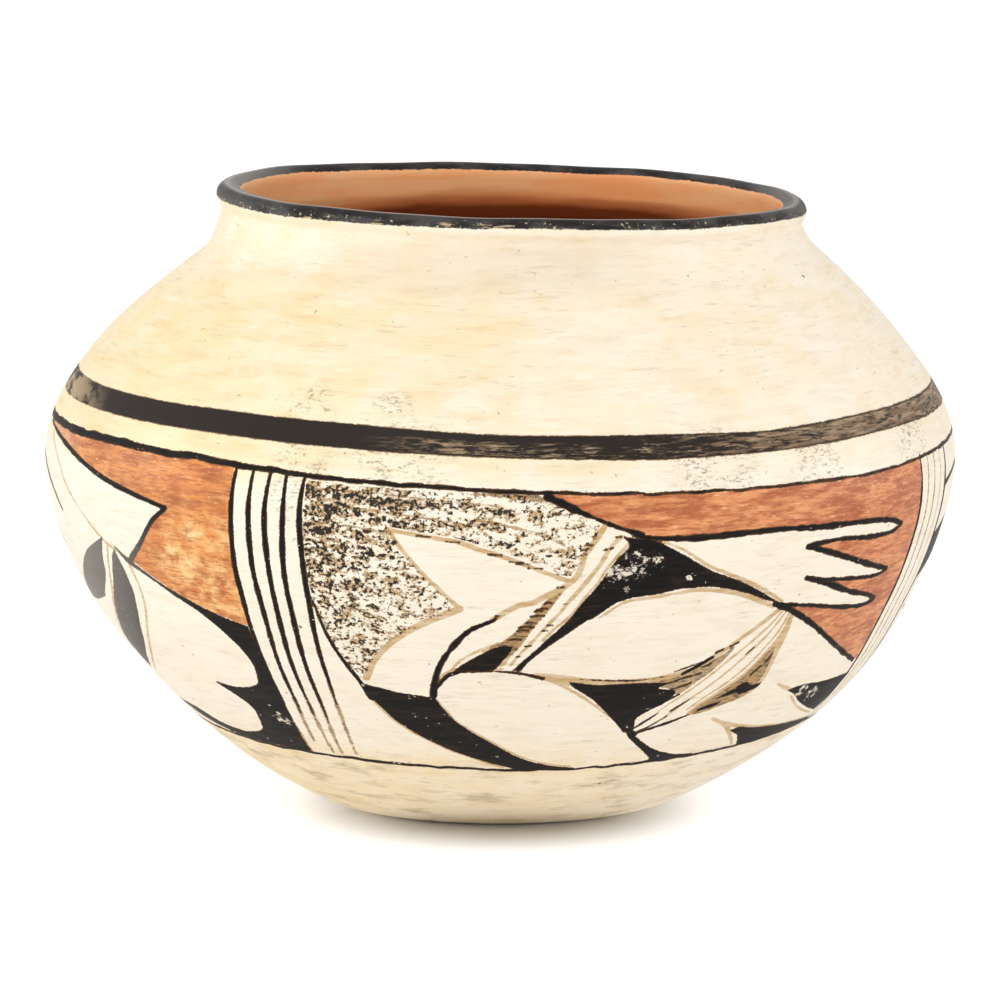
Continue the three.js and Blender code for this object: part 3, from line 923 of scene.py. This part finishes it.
# The rim's paint runs down both sides of the lip's crest, by lengths that vary round the mouth
along = lengths_along(rim_outer)
crest = along[int(np.argmax(rim_outer[:, 1]))]
turn = np.degrees(np.arange(plain_columns) * 2 * np.pi / plain_columns)
from_front = (turn + 180) % 360 - 180
down_outside = np.interp(from_front, [-180, -90, -40, 0, 60, 120, 180], [4.2, 4.8, 4.6, 3.8, 3.8, 4.2, 4.2])
down_inside = np.interp(np.abs(from_front), [0, 60, 110, 180], [3.0, 3.4, 3.9, 4.0])[None, :]
from_crest = along[:, None] - crest
paint_depth = np.where(from_crest < 0, down_outside[None, :] + from_crest, down_inside - from_crest)
write_attribute(rim, "rim_paint", as_share(paint_depth))
write_attribute(rim, "rim_side", as_share(np.repeat(from_crest, plain_columns, axis=1)))
turning_bare = smoothstep(1.5, 4.0, from_crest[:, 0])
rim_bare = np.concatenate([np.repeat(turning_bare, plain_columns), np.ones(len(bore) * plain_columns)])
rim.data.attributes["bare"].data.foreach_set("value", rim_bare.astype(np.float32))

# Fired clay
# Every piece is the same earthenware with a polished cream slip. The slip is clouded by the fire, the
# paint is matt and a little worn, and the inside is bare orange clay, wiped round by hand.
clay = bpy.data.materials.new("slipped and painted earthenware")
tree = new_tree(clay)
coordinates = add("TexCoord")
in_mm = add("VectorMath", {0: coordinates.outputs["Object"], "Scale": 1 / MM}, operation="SCALE")


def blotches(size, detail=3.0, squeeze=1.0, roughness=0.5, offset=0.0):
    """A pattern of blotches, size millimetres wide and squeezed in height by a factor."""
    moved = add("Mapping", {"Vector": in_mm, "Location": (offset, offset, offset),
                            "Scale": (1 / size, 1 / size, squeeze / size)})
    return add("TexNoise", {"Vector": moved, "Scale": 1.0, "Detail": detail, "Roughness": roughness})


# A Mix of colours takes its share in socket 0, the colour under in 6 and the colour over in 7, and gives
# its result in output 2. A soft MapRange takes a value, the range that it comes from and the range that
# it goes to, whose ends are 0 and 1 where none are given.
in_colour = {"data_type": "RGBA"}
place_parts = add("SeparateXYZ", [in_mm])
across = place_parts.outputs[0]
backward = place_parts.outputs[1]
height = place_parts.outputs[2]

# Slip: yellower to the left and away from the painted wall, clouded, streaked and stained
clouds = blotches(40.0, detail=4.0, squeeze=1.6, offset=3.1)
mottle = blotches(11.0, detail=5.0, squeeze=1.6, roughness=0.6, offset=0.7)
streaks = blotches(30.0, detail=5.0, squeeze=11.0, roughness=0.6)
strokes = blotches(9.0, detail=5.0, squeeze=9.0, roughness=0.65, offset=2.7)
grain = blotches(2.4, detail=3.0, squeeze=2.2)
leftward = add("MapRange", [across, 60.0, -110.0], **soft)
panel_zone = add("Math", [
    add("MapRange", [height, 20.0, 34.0], **soft),
    add("MapRange", [height, 100.0, 88.0], **soft),
], operation="MULTIPLY")
yellow = add("Math", [
    add("Math", [0.27, add("Math", [leftward, 0.43], operation="MULTIPLY")], operation="ADD"),
    add("Math", [1.0, add("Math", [panel_zone, 0.75], operation="MULTIPLY")], operation="SUBTRACT"),
], operation="MULTIPLY")
yellow = add("Math", [
    yellow,
    add("Math", [1.0, add("MapRange", [height, 130.0, 142.0, 0.0, 0.35], **soft)], operation="SUBTRACT"),
], operation="MULTIPLY")
yellow = add("Math", [yellow, add("MapRange", [clouds, 0.38, 0.64, -0.05, 0.07], **soft)], operation="ADD")
yellow = add("Math", [yellow, add("MapRange", [mottle, 0.3, 0.7, -0.12, 0.15], **soft)], operation="ADD")
yellow = add("Math", [
    yellow, add("Math", [1.0, add("Math", [panel_zone, 0.5], operation="MULTIPLY")], operation="SUBTRACT")
], operation="MULTIPLY")
slip = add("Mix", {
    0: add("MapRange", [yellow, 0.0, 1.0], **soft), 6: "#f8eddb", 7: "#f4dba8"
}, **in_colour).outputs[2]
stained = blotches(24.0, detail=8.0, squeeze=7.5, roughness=0.72, offset=12.5)
stains = add("Math", [
    add("MapRange", [stained, 0.47, 0.68, 0.0, 0.65], **soft),
    add("Math", [0.2, add("MapRange", [yellow, 0.1, 0.8, 0.0, 0.8], **soft)], operation="ADD"),
], operation="MULTIPLY")
slip = add("Mix", {0: stains, 6: slip, 7: "#e6c78f"}, **in_colour).outputs[2]
slip = add("Mix", {
    0: add("MapRange", [strokes, 0.48, 0.75, 0.0, 0.25], **soft), 6: slip, 7: "#d5c09a"
}, **in_colour).outputs[2]
slip = add("Mix", {
    0: add("MapRange", [streaks, 0.42, 0.25, 0.0, 0.4], **soft), 6: slip, 7: "#fcf6ea"
}, **in_colour).outputs[2]
scratches = blotches(8.0, detail=6.0, squeeze=12.0, roughness=0.72, offset=17.0)
scratch_drifts = add("MapRange", [blotches(20.0, detail=2.0, offset=33.0), 0.42, 0.58], **soft)
slip = add("Mix", {
    0: add("Math", [
        add("MapRange", [scratches, 0.54, 0.68, 0.0, 0.33], **soft), scratch_drifts
    ], operation="MULTIPLY"),
    6: slip,
    7: "#a8936f",
}, **in_colour).outputs[2]
smears = blotches(12.0, detail=7.0, squeeze=4.4, roughness=0.66, offset=41.0)
smears = add("Math", [
    add("MapRange", [smears, 0.49, 0.7, 0.0, 0.6], **soft),
    add("MapRange", [height, 27.0, 19.0, 0.2], **soft),
], operation="MULTIPLY")
slip = add("Mix", {0: smears, 6: slip, 7: "#a8946c"}, **in_colour).outputs[2]

# Painted shade in the crease under the neck, darkest at the front
painted_crease_shade = add("Math", [
    add("MapRange", [height, 132.0, 142.0, 0.0, 0.3], **soft),
    add("MapRange", [height, 150.0, 145.0], **soft),
], operation="MULTIPLY")
painted_crease_shade = add("Math", [
    painted_crease_shade,
    add("Math", [
        add("MapRange", [across, -70.0, -20.0], **soft),
        add("MapRange", [across, 55.0, 15.0], **soft),
    ], operation="MULTIPLY"),
], operation="MULTIPLY")
slip = add("Mix", {0: painted_crease_shade, 6: slip, 7: "#c0a780"}, **in_colour).outputs[2]


# Marks of use: scuffs near the band, and small dark pits
def near_spot(turn, level, size):
    """1 at a spot on the wall, fading to 0 at size millimetres from it."""
    radius = np.interp(level, outside[:, 1], outside[:, 0])
    spot = place(np.array([[radius, level]]), np.array([math.radians(turn)]))[0, 0]
    gap = add("VectorMath", [in_mm, tuple(spot)], operation="DISTANCE")
    return add("MapRange", [gap.outputs["Value"], size, size * 0.3], **soft)


scuffed = near_spot(-12.0, 100.0, 17.0)
for turn, level, size in ((-24.0, 100.5, 12.0), (-14.0, 110.0, 9.5), (27.0, 97.0, 16.0), (42.0, 96.5, 13.0),
                          (-25.0, 111.5, 9.0), (-26.0, 90.0, 9.0), (63.0, 97.0, 12.0), (120.0, 99.0, 20.0),
                          (200.0, 112.0, 22.0)):
    scuffed = add("Math", [scuffed, near_spot(turn, level, size)], operation="MAXIMUM")
scuff_marks = add("MapRange", [
    blotches(1.7, detail=5.0, squeeze=2.2, roughness=0.8, offset=21.0), 0.5, 0.6
], **soft)
scuff_drifts = add("MapRange", [
    blotches(8.0, detail=4.0, squeeze=2.8, roughness=0.6, offset=14.0), 0.4, 0.54
], **soft)
scuffed = add("Math", [scuffed, scuff_drifts], operation="MULTIPLY")
slip = add("Mix", {
    0: add("Math", [
        add("Math", [scuffed, scuff_marks], operation="MULTIPLY"), 0.75
    ], operation="MULTIPLY"),
    6: slip,
    7: "#83735d",
}, **in_colour).outputs[2]
pit_spacing = 1000 / 55
pit_cells = add("TexVoronoi", {"Vector": in_mm, "Scale": 1 / pit_spacing, "Randomness": 1.0})
pits = add("MapRange", [pit_cells.outputs["Distance"], 0.034, 0.02], **soft)
slip = add("Mix", {
    0: add("Math", [pits, 0.85], operation="MULTIPLY"), 6: slip, 7: "#5a4632"
}, **in_colour).outputs[2]
slip = add("Mix", {
    0: add("MapRange", [blotches(2.2, detail=3.0, squeeze=1.4, offset=7.7), 0.7, 0.75, 0.0, 0.55], **soft),
    6: slip,
    7: "#a5855c",
}, **in_colour).outputs[2]

# Red ochre: redder at the right, streaked by the brush, and thin in patches at the left
ochre_streaks = blotches(10.0, detail=7.0, squeeze=5.0, roughness=0.65, offset=1.3)
ochre_dabs = blotches(5.0, detail=5.0, squeeze=1.3, roughness=0.62, offset=5.3)
ochre_broad = blotches(24.0, detail=2.0, offset=8.3)
red_side = add("Mix", {
    0: add("MapRange", [ochre_streaks, 0.38, 0.62], **soft), 6: "#e2935f", 7: "#b05c33"
}, **in_colour).outputs[2]
orange_side = add("Mix", {
    0: add("MapRange", [ochre_streaks, 0.35, 0.65], **soft), 6: "#e08e48", 7: "#b0602b"
}, **in_colour).outputs[2]
ochre_paint = add("Mix", {
    0: add("MapRange", [across, 10.0, -15.0], **soft), 6: red_side, 7: orange_side
}, **in_colour).outputs[2]
patches = add("Math", [near_spot(-38.0, 68.0, 25.0), 0.85], operation="MULTIPLY")
patches = add("Math", [
    patches, add("Math", [add("MapRange", [ochre_broad, 0.34, 0.52], **soft), 0.1], operation="MULTIPLY")
], operation="ADD")
ochre_paint = add("Mix", {
    0: add("Math", [patches, add("MapRange", [ochre_dabs, 0.36, 0.6], **soft)], operation="MULTIPLY"),
    6: ochre_paint,
    7: "#f2bb77",
}, **in_colour).outputs[2]
ochre_paint = add("Mix", {
    0: add("Math", [
        patches, add("MapRange", [ochre_dabs, 0.56, 0.68, 0.0, 0.8], **soft)
    ], operation="MULTIPLY"),
    6: ochre_paint,
    7: "#fbdfa6",
}, **in_colour).outputs[2]
ochre_paint = add("Mix", {
    0: add("MapRange", [ochre_dabs, 0.34, 0.26, 0.0, 0.5], **soft), 6: ochre_paint, 7: "#a9592f"
}, **in_colour).outputs[2]
ochre_lines = blotches(4.0, detail=6.0, squeeze=7.0, roughness=0.72, offset=27.0)
ochre_paint = add("Mix", {
    0: add("MapRange", [ochre_lines, 0.52, 0.61, 0.0, 0.6], **soft), 6: ochre_paint, 7: "#96491f"
}, **in_colour).outputs[2]
ochre_paint = add("Mix", {
    0: add("MapRange", [ochre_lines, 0.41, 0.35, 0.0, 0.75], **soft), 6: ochre_paint, 7: "#f6c290"
}, **in_colour).outputs[2]
# Paler at the far left edge: a painted haze of reflected light.
ochre_paint = add("Mix", {
    0: add("MapRange", [across, -98.0, -113.0, 0.0, 0.4], **soft), 6: ochre_paint, 7: "#f7cd9c"
}, **in_colour).outputs[2]

# Black, brown and thin brown paint, with ragged edges, chips and rubbed places
ragged_fine = add("Math", [
    add("Math", [blotches(0.9, detail=2.0, squeeze=1.5, offset=2.2), 0.5], operation="SUBTRACT"), 0.08
], operation="MULTIPLY")
ragged_broad = add("Math", [
    add("Math", [blotches(4.0, detail=2.0), 0.5], operation="SUBTRACT"), 0.09
], operation="MULTIPLY")
ragged = add("Math", [ragged_fine, ragged_broad], operation="ADD")


def painted(name, roughness=1.0, blur=0.02):
    """Where a layer's paint lies, with a ragged edge."""
    depth = add("Math", [
        add("Attribute", attribute_name=name).outputs["Fac"],
        add("Math", [ragged, roughness], operation="MULTIPLY"),
    ], operation="ADD")
    return add("MapRange", [depth, 0.5 - blur, 0.5 + blur], **soft)


ochre_mask = painted("ochre", 0.8)
wash_mask = painted("wash", 0.8, 0.03)
umber_mask = painted("umber", 1.5, 0.03)
black_mask = painted("black", 1.0, 0.015)
chips = add("MapRange", [
    blotches(2.6, detail=4.0, squeeze=1.9, roughness=0.65, offset=9.0), 0.68, 0.695
], **soft)
black_mask = add("Math", [
    black_mask, add("Math", [1.0, add("Math", [chips, 0.8], operation="MULTIPLY")], operation="SUBTRACT")
], operation="MULTIPLY")
rubbed = near_spot(16.3, 75.6, 7.0)
for turn, level, size in ((13.8, 73.8, 4.2), (19.0, 77.2, 2.6), (15.5, 69.6, 1.8), (23.5, 71.6, 1.8),
                          (51.0, 36.0, 4.4), (55.0, 34.6, 5.0), (2.0, 33.0, 2.6), (-38.0, 31.0, 5.0)):
    rubbed = add("Math", [rubbed, near_spot(turn, level, size)], operation="MAXIMUM")
rub_marks = blotches(1.9, detail=5.0, squeeze=1.3, roughness=0.7, offset=31.0)
rubbed = add("Math", [
    rub_marks, add("Math", [add("Math", [rubbed, 1.0], operation="SUBTRACT"), 0.3], operation="MULTIPLY")
], operation="ADD")
rubbed = add("MapRange", [rubbed, 0.47, 0.58, 0.0, 0.85], **soft)
black_mask = add("Math", [
    black_mask, add("Math", [1.0, rubbed], operation="SUBTRACT")
], operation="MULTIPLY")
black_full = add("Mix", {
    0: add("MapRange", [strokes, 0.48, 0.7], **soft), 6: "#110e0c", 7: "#2b1e16"
}, **in_colour).outputs[2]
black_paint = add("Mix", {
    0: add("MapRange", [add("Attribute", attribute_name="black").outputs["Fac"], 0.5, 0.565], **soft),
    6: "#5f4229",
    7: black_full,
}, **in_colour).outputs[2]
# Black lightened towards the far left edge, lower down: a painted haze of reflected light.
painted_edge_haze = add("Math", [
    add("MapRange", [across, -70.0, -108.0, 0.0, 0.3], **soft),
    add("MapRange", [height, 86.0, 70.0], **soft),
], operation="MULTIPLY")
black_paint = add("Mix", {0: painted_edge_haze, 6: black_paint, 7: "#ddd5c8"}, **in_colour).outputs[2]

# Stipple: more dots take where the brush was pressed harder
pressure_share = add("Math", [
    add("Attribute", attribute_name="pressure").outputs["Fac"], 0.5
], operation="SUBTRACT")
fine = blotches(0.95, detail=3.0, squeeze=1.2, roughness=0.6, offset=4.4)
clumps = blotches(3.0, detail=3.0, squeeze=1.7, roughness=0.6, offset=6.1)
flake_width = 2.0
flakes = add("TexVoronoi", {"Vector": in_mm, "Scale": 1 / flake_width, "Randomness": 0.9})
hollow = add("MapRange", [flakes.outputs["Distance"], 0.5, 0.18, 0.0, 0.06], **soft)
forced = add("Math", [pressure_share, 0.26], operation="MULTIPLY")
pressed = add("Math", [
    add("Math", [fine, 0.7], operation="MULTIPLY"),
    add("Math", [clumps, 0.3], operation="MULTIPLY"),
], operation="ADD")
pressed = add("Math", [add("Math", [pressed, forced], operation="ADD"), hollow], operation="SUBTRACT")
watery = add("Math", [
    add("Math", [
        add("Math", [fine, 0.42], operation="MULTIPLY"),
        add("Math", [clumps, 0.58], operation="MULTIPLY"),
    ], operation="ADD"),
    forced,
], operation="ADD")
stipple_zone = painted("stipple", 0.5)
stipple_brown = add("Math", [
    stipple_zone, add("MapRange", [watery, 0.455, 0.52, 0.0, 0.8], **soft)
], operation="MULTIPLY")
stipple_black = add("Math", [
    stipple_zone, add("MapRange", [pressed, 0.515, 0.535], **soft)
], operation="MULTIPLY")

# Band: rubbed down to brown at the right and along its lower side
band_mask = painted("band", 1.2, 0.03)
band_clouds = blotches(9.0, detail=5.0, squeeze=2.6, roughness=0.65, offset=6.0)
band_fine = blotches(6.0, detail=6.0, squeeze=8.0, roughness=0.75, offset=8.0)
band_left = add("Math", [
    add("MapRange", [across, -94.0, -108.0], **soft),
    add("MapRange", [band_clouds, 0.4, 0.56], **soft),
], operation="MULTIPLY")
lower_part = add("Math", [
    add("MapRange", [add("Attribute", attribute_name="band_drop").outputs["Fac"], 0.26, 0.42], **soft),
    add("MapRange", [across, 20.0, 60.0], **soft),
], operation="MAXIMUM")
band_right = add("Math", [
    add("MapRange", [across, -34.0, -10.0], **soft), lower_part
], operation="MULTIPLY")
band_right = add("Math", [
    band_right,
    add("MapRange", [add("Attribute", attribute_name="band").outputs["Fac"], 0.54, 0.62], **soft),
], operation="MULTIPLY")
band_fine = add("Math", [
    add("Math", [band_fine, add("MapRange", [across, 30.0, 85.0, 0.0, 0.12], **soft)], operation="ADD"),
    add("MapRange", [across, 0.0, 20.0, 0.0, -0.05], **soft),
], operation="ADD")
band_right = add("Math", [
    band_right, add("MapRange", [band_fine, 0.46, 0.6], **soft)
], operation="MULTIPLY")
band_paint = add("Mix", {0: band_left, 6: "#2b241f", 7: "#b39c7c"}, **in_colour).outputs[2]
band_paint = add("Mix", {
    0: band_right,
    6: band_paint,
    7: add("Mix", {
        0: add("MapRange", [strokes, 0.42, 0.62], **soft), 6: "#7d6650", 7: "#aa9376"
    }, **in_colour).outputs[2],
}, **in_colour).outputs[2]
band_paint = add("Mix", {
    0: add("MapRange", [add("Attribute", attribute_name="band").outputs["Fac"], 0.5, 0.56], **soft),
    6: "#7b5e3e",
    7: band_paint,
}, **in_colour).outputs[2]

# Paints laid over the slip, from the palest to the darkest
grains = blotches(2.0, detail=5.0, squeeze=3.2, roughness=0.72, offset=15.0)
umber_paint = add("Mix", {
    0: add("MapRange", [grains, 0.45, 0.62], **soft), 6: "#b08a52", 7: "#36250f"
}, **in_colour).outputs[2]
colour = add("Mix", {0: ochre_mask, 6: slip, 7: ochre_paint}, **in_colour).outputs[2]
colour = add("Mix", {
    0: add("Math", [
        wash_mask, add("MapRange", [strokes, 0.35, 0.65, 0.55, 0.9], **soft)
    ], operation="MULTIPLY"),
    6: colour,
    7: "#bd9554",
}, **in_colour).outputs[2]
colour = add("Mix", {
    0: add("Math", [umber_mask, 0.85], operation="MULTIPLY"), 6: colour, 7: umber_paint
}, **in_colour).outputs[2]
colour = add("Mix", {0: stipple_brown, 6: colour, 7: "#a9803f"}, **in_colour).outputs[2]
colour = add("Mix", {0: stipple_black, 6: colour, 7: "#1b1008"}, **in_colour).outputs[2]
colour = add("Mix", {0: black_mask, 6: colour, 7: black_paint}, **in_colour).outputs[2]
colour = add("Mix", {0: band_mask, 6: colour, 7: band_paint}, **in_colour).outputs[2]

# Inside: bare clay, with a painted shadow of the front lip, darker lower down and towards the middle
wiping = blotches(26.0, detail=4.0, squeeze=6.0, offset=11.0)
inside_clay = add("Mix", {
    0: add("MapRange", [wiping, 0.4, 0.65], **soft), 6: "#ffbb80", 7: "#ffa96b"
}, **in_colour).outputs[2]
inside_shade_level = add("Math", [
    height, add("Math", [add("Math", [wiping, 0.5], operation="SUBTRACT"), 6.0], operation="MULTIPLY")
], operation="ADD")
inside_shade_level = add("Math", [
    inside_shade_level,
    add("Math", [add("Math", [across, across], operation="MULTIPLY"), 0.0011], operation="MULTIPLY"),
], operation="ADD")
inside_clay = add("Mix", {
    0: add("MapRange", [inside_shade_level, 147.3, 144.2, 0.0, 0.8], **soft), 6: inside_clay, 7: "#d3733b"
}, **in_colour).outputs[2]
inside_clay = add("Mix", {
    0: add("MapRange", [inside_shade_level, 145.0, 141.8, 0.0, 0.92], **soft), 6: inside_clay, 7: "#7a3413"
}, **in_colour).outputs[2]
bare = add("Attribute", attribute_name="bare").outputs["Fac"]
colour = add("Mix", {0: bare, 6: colour, 7: inside_clay}, **in_colour).outputs[2]

# Rim: black with a painted grey sheen at its ends, worn along its outer side, and pale along its crest from
# both wear and a painted highlight
rim_mask = painted("rim_paint", 1.2, 0.03)
rim_worn = add("MapRange", [
    blotches(7.0, detail=6.0, squeeze=7.0, roughness=0.7, offset=13.0), 0.55, 0.62, 0.0, 0.85
], **soft)
rim_worn = add("Math", [
    rim_worn,
    add("MapRange", [add("Attribute", attribute_name="rim_paint").outputs["Fac"], 0.85, 0.6], **soft),
], operation="MULTIPLY")
rim_worn = add("Math", [
    rim_worn, add("Math", [0.15, add("MapRange", [across, 25.0, -5.0], **soft)], operation="ADD")
], operation="MULTIPLY")
rim_worn = add("Math", [rim_worn, add("MapRange", [backward, 0.0, -30.0], **soft)], operation="MULTIPLY")
rim_black = add("Mix", {
    0: add("MapRange", [blotches(12.0, detail=4.0, squeeze=3.0, offset=19.0), 0.42, 0.62], **soft),
    6: "#242120",
    7: "#474543",
}, **in_colour).outputs[2]
rim_black = add("Mix", {0: rim_worn, 6: rim_black, 7: "#c2ab86"}, **in_colour).outputs[2]
rim_dots = add("MapRange", [
    blotches(1.3, detail=3.0, roughness=0.6, offset=23.0), 0.63, 0.67, 0.0, 0.8
], **soft)
rim_dots = add("Math", [
    rim_dots, add("MapRange", [backward, 30.0, -30.0, 0.1], **soft)
], operation="MULTIPLY")
rim_black = add("Mix", {
    0: add("Math", [
        rim_dots,
        add("MapRange", [add("Attribute", attribute_name="rim_paint").outputs["Fac"], 0.95, 0.7], **soft),
    ], operation="MULTIPLY"),
    6: rim_black,
    7: "#cdb793",
}, **in_colour).outputs[2]
# The pale line along the crest is worn paint with a painted highlight, stronger to the left.
crest_wear_and_highlight = add("Math", [
    add("MapRange", [add("Attribute", attribute_name="rim_side").outputs["Fac"], 0.34, 0.43], **soft),
    add("MapRange", [add("Attribute", attribute_name="rim_side").outputs["Fac"], 0.64, 0.58], **soft),
], operation="MULTIPLY")
rim_black = add("Mix", {
    0: add("Math", [
        crest_wear_and_highlight, add("MapRange", [across, 60.0, -60.0, 0.55, 0.9], **soft)
    ], operation="MULTIPLY"),
    6: rim_black,
    7: "#a8968b",
}, **in_colour).outputs[2]
# A painted grey sheen on both ends of the rim, strongest on the crest and inside.
painted_end_sheen = add("Math", [
    add("MapRange", [across, -48.0, -68.0], **soft),
    add("MapRange", [across, 58.0, 76.0, 0.0, 0.6], **soft),
], operation="MAXIMUM")
painted_end_sheen = add("Math", [
    painted_end_sheen,
    add("MapRange", [
        add("Attribute", attribute_name="rim_side").outputs["Fac"], 0.22, 0.5, 0.15, 0.7
    ], **soft),
], operation="MULTIPLY")
rim_black = add("Mix", {0: painted_end_sheen, 6: rim_black, 7: "#94918c"}, **in_colour).outputs[2]
colour = add("Mix", {0: rim_mask, 6: colour, 7: rim_black}, **in_colour).outputs[2]

# Surface: polished slip, duller paint, and a fine relief from the polishing
paint_share = add("Math", [
    add("Math", [black_mask, rim_mask], operation="MAXIMUM"), band_mask
], operation="MAXIMUM")
roughness = add("Math", [
    add("Math", [paint_share, 0.12], operation="MULTIPLY"),
    add("MapRange", [streaks, 0.3, 0.7, 0.42, 0.5], **soft),
], operation="ADD")
relief = add("Math", [
    add("Math", [grain, 0.5], operation="MULTIPLY"),
    add("Math", [streaks, 0.9], operation="MULTIPLY"),
], operation="ADD")
relief_depth = 0.2 * MM
bump = add("Bump", {"Strength": 0.25, "Distance": relief_depth, "Height": relief})
gloss = add("Math", [0.4, add("Math", [paint_share, 0.25], operation="MULTIPLY")], operation="SUBTRACT")
surface = add("BsdfPrincipled", {
    "Base Color": colour,
    "Roughness": roughness,
    "Specular IOR Level": gloss,
    "Normal": bump,
    "Sheen Weight": 0.15,
    "Sheen Roughness": 0.2,
})
add("OutputMaterial", {"Surface": surface})

for piece in clay_pieces:
    piece.data.materials.append(clay)
